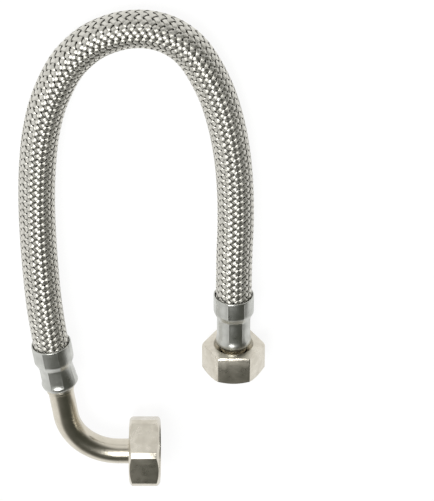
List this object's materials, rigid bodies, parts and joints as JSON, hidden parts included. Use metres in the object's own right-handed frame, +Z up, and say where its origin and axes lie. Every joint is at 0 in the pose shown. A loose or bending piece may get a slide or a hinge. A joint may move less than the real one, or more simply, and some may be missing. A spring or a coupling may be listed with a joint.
{
  "type": "pressure tank hose",
  "caption": "Braided stainless water hose bent into a U, with a straight swivel nut on one end and a bent pipe with a larger swivel nut on the other.",
  "frame": {"origin": "middle of the fittings' footprint (their bounding box without the hose), on the floor that the hose lies on", "axes": "+X out of the elbow nut's mouth, -Y out of the straight nut's mouth, +Y towards the bend of the U, +Z up from the floor"},
  "size_m": [0.1307, 0.2882, 0.037],
  "materials": {
    "nickel_plate": "nickel-plated brass, satin to bright",
    "ferrule_steel": "bright pressed stainless steel",
    "braid_steel": "woven stainless wire",
    "liner_rubber": "black rubber",
    "seal_fibre": "dark sealing washer"
  },
  "bodies": {
    "hose": {"inner_tube": "liner_rubber", "braid_sleeve": "braid_steel", "straight_ferrule": "ferrule_steel", "straight_insert": "nickel_plate", "elbow_ferrule": "ferrule_steel", "elbow_pipe": "nickel_plate", "elbow_collar": "nickel_plate"},
    "straight_seal": {"straight_seal": "seal_fibre"},
    "straight_nut": {"straight_nut": "nickel_plate"},
    "elbow_seal": {"elbow_seal": "seal_fibre"},
    "elbow_nut": {"elbow_nut": "nickel_plate"}
  },
  "joints": [
    {"name": "straight_nut_play", "type": "slide", "parent": "hose", "child": "straight_seal", "axis": [0, 1, 0], "range_m": [0, 0.0024]},
    {"name": "straight_nut_turn", "type": "hinge", "parent": "straight_seal", "child": "straight_nut", "pos_m": [0.0464, 0.021, 0.015], "axis": [0, -1, 0], "continuous": true},
    {"name": "elbow_nut_play", "type": "slide", "parent": "hose", "child": "elbow_seal", "axis": [-1, 0, 0], "range_m": [0, 0.0024]},
    {"name": "elbow_nut_turn", "type": "hinge", "parent": "elbow_seal", "child": "elbow_nut", "pos_m": [-0.003, -0.0413, 0.0185], "axis": [1, 0, 0], "continuous": true}
  ]
}
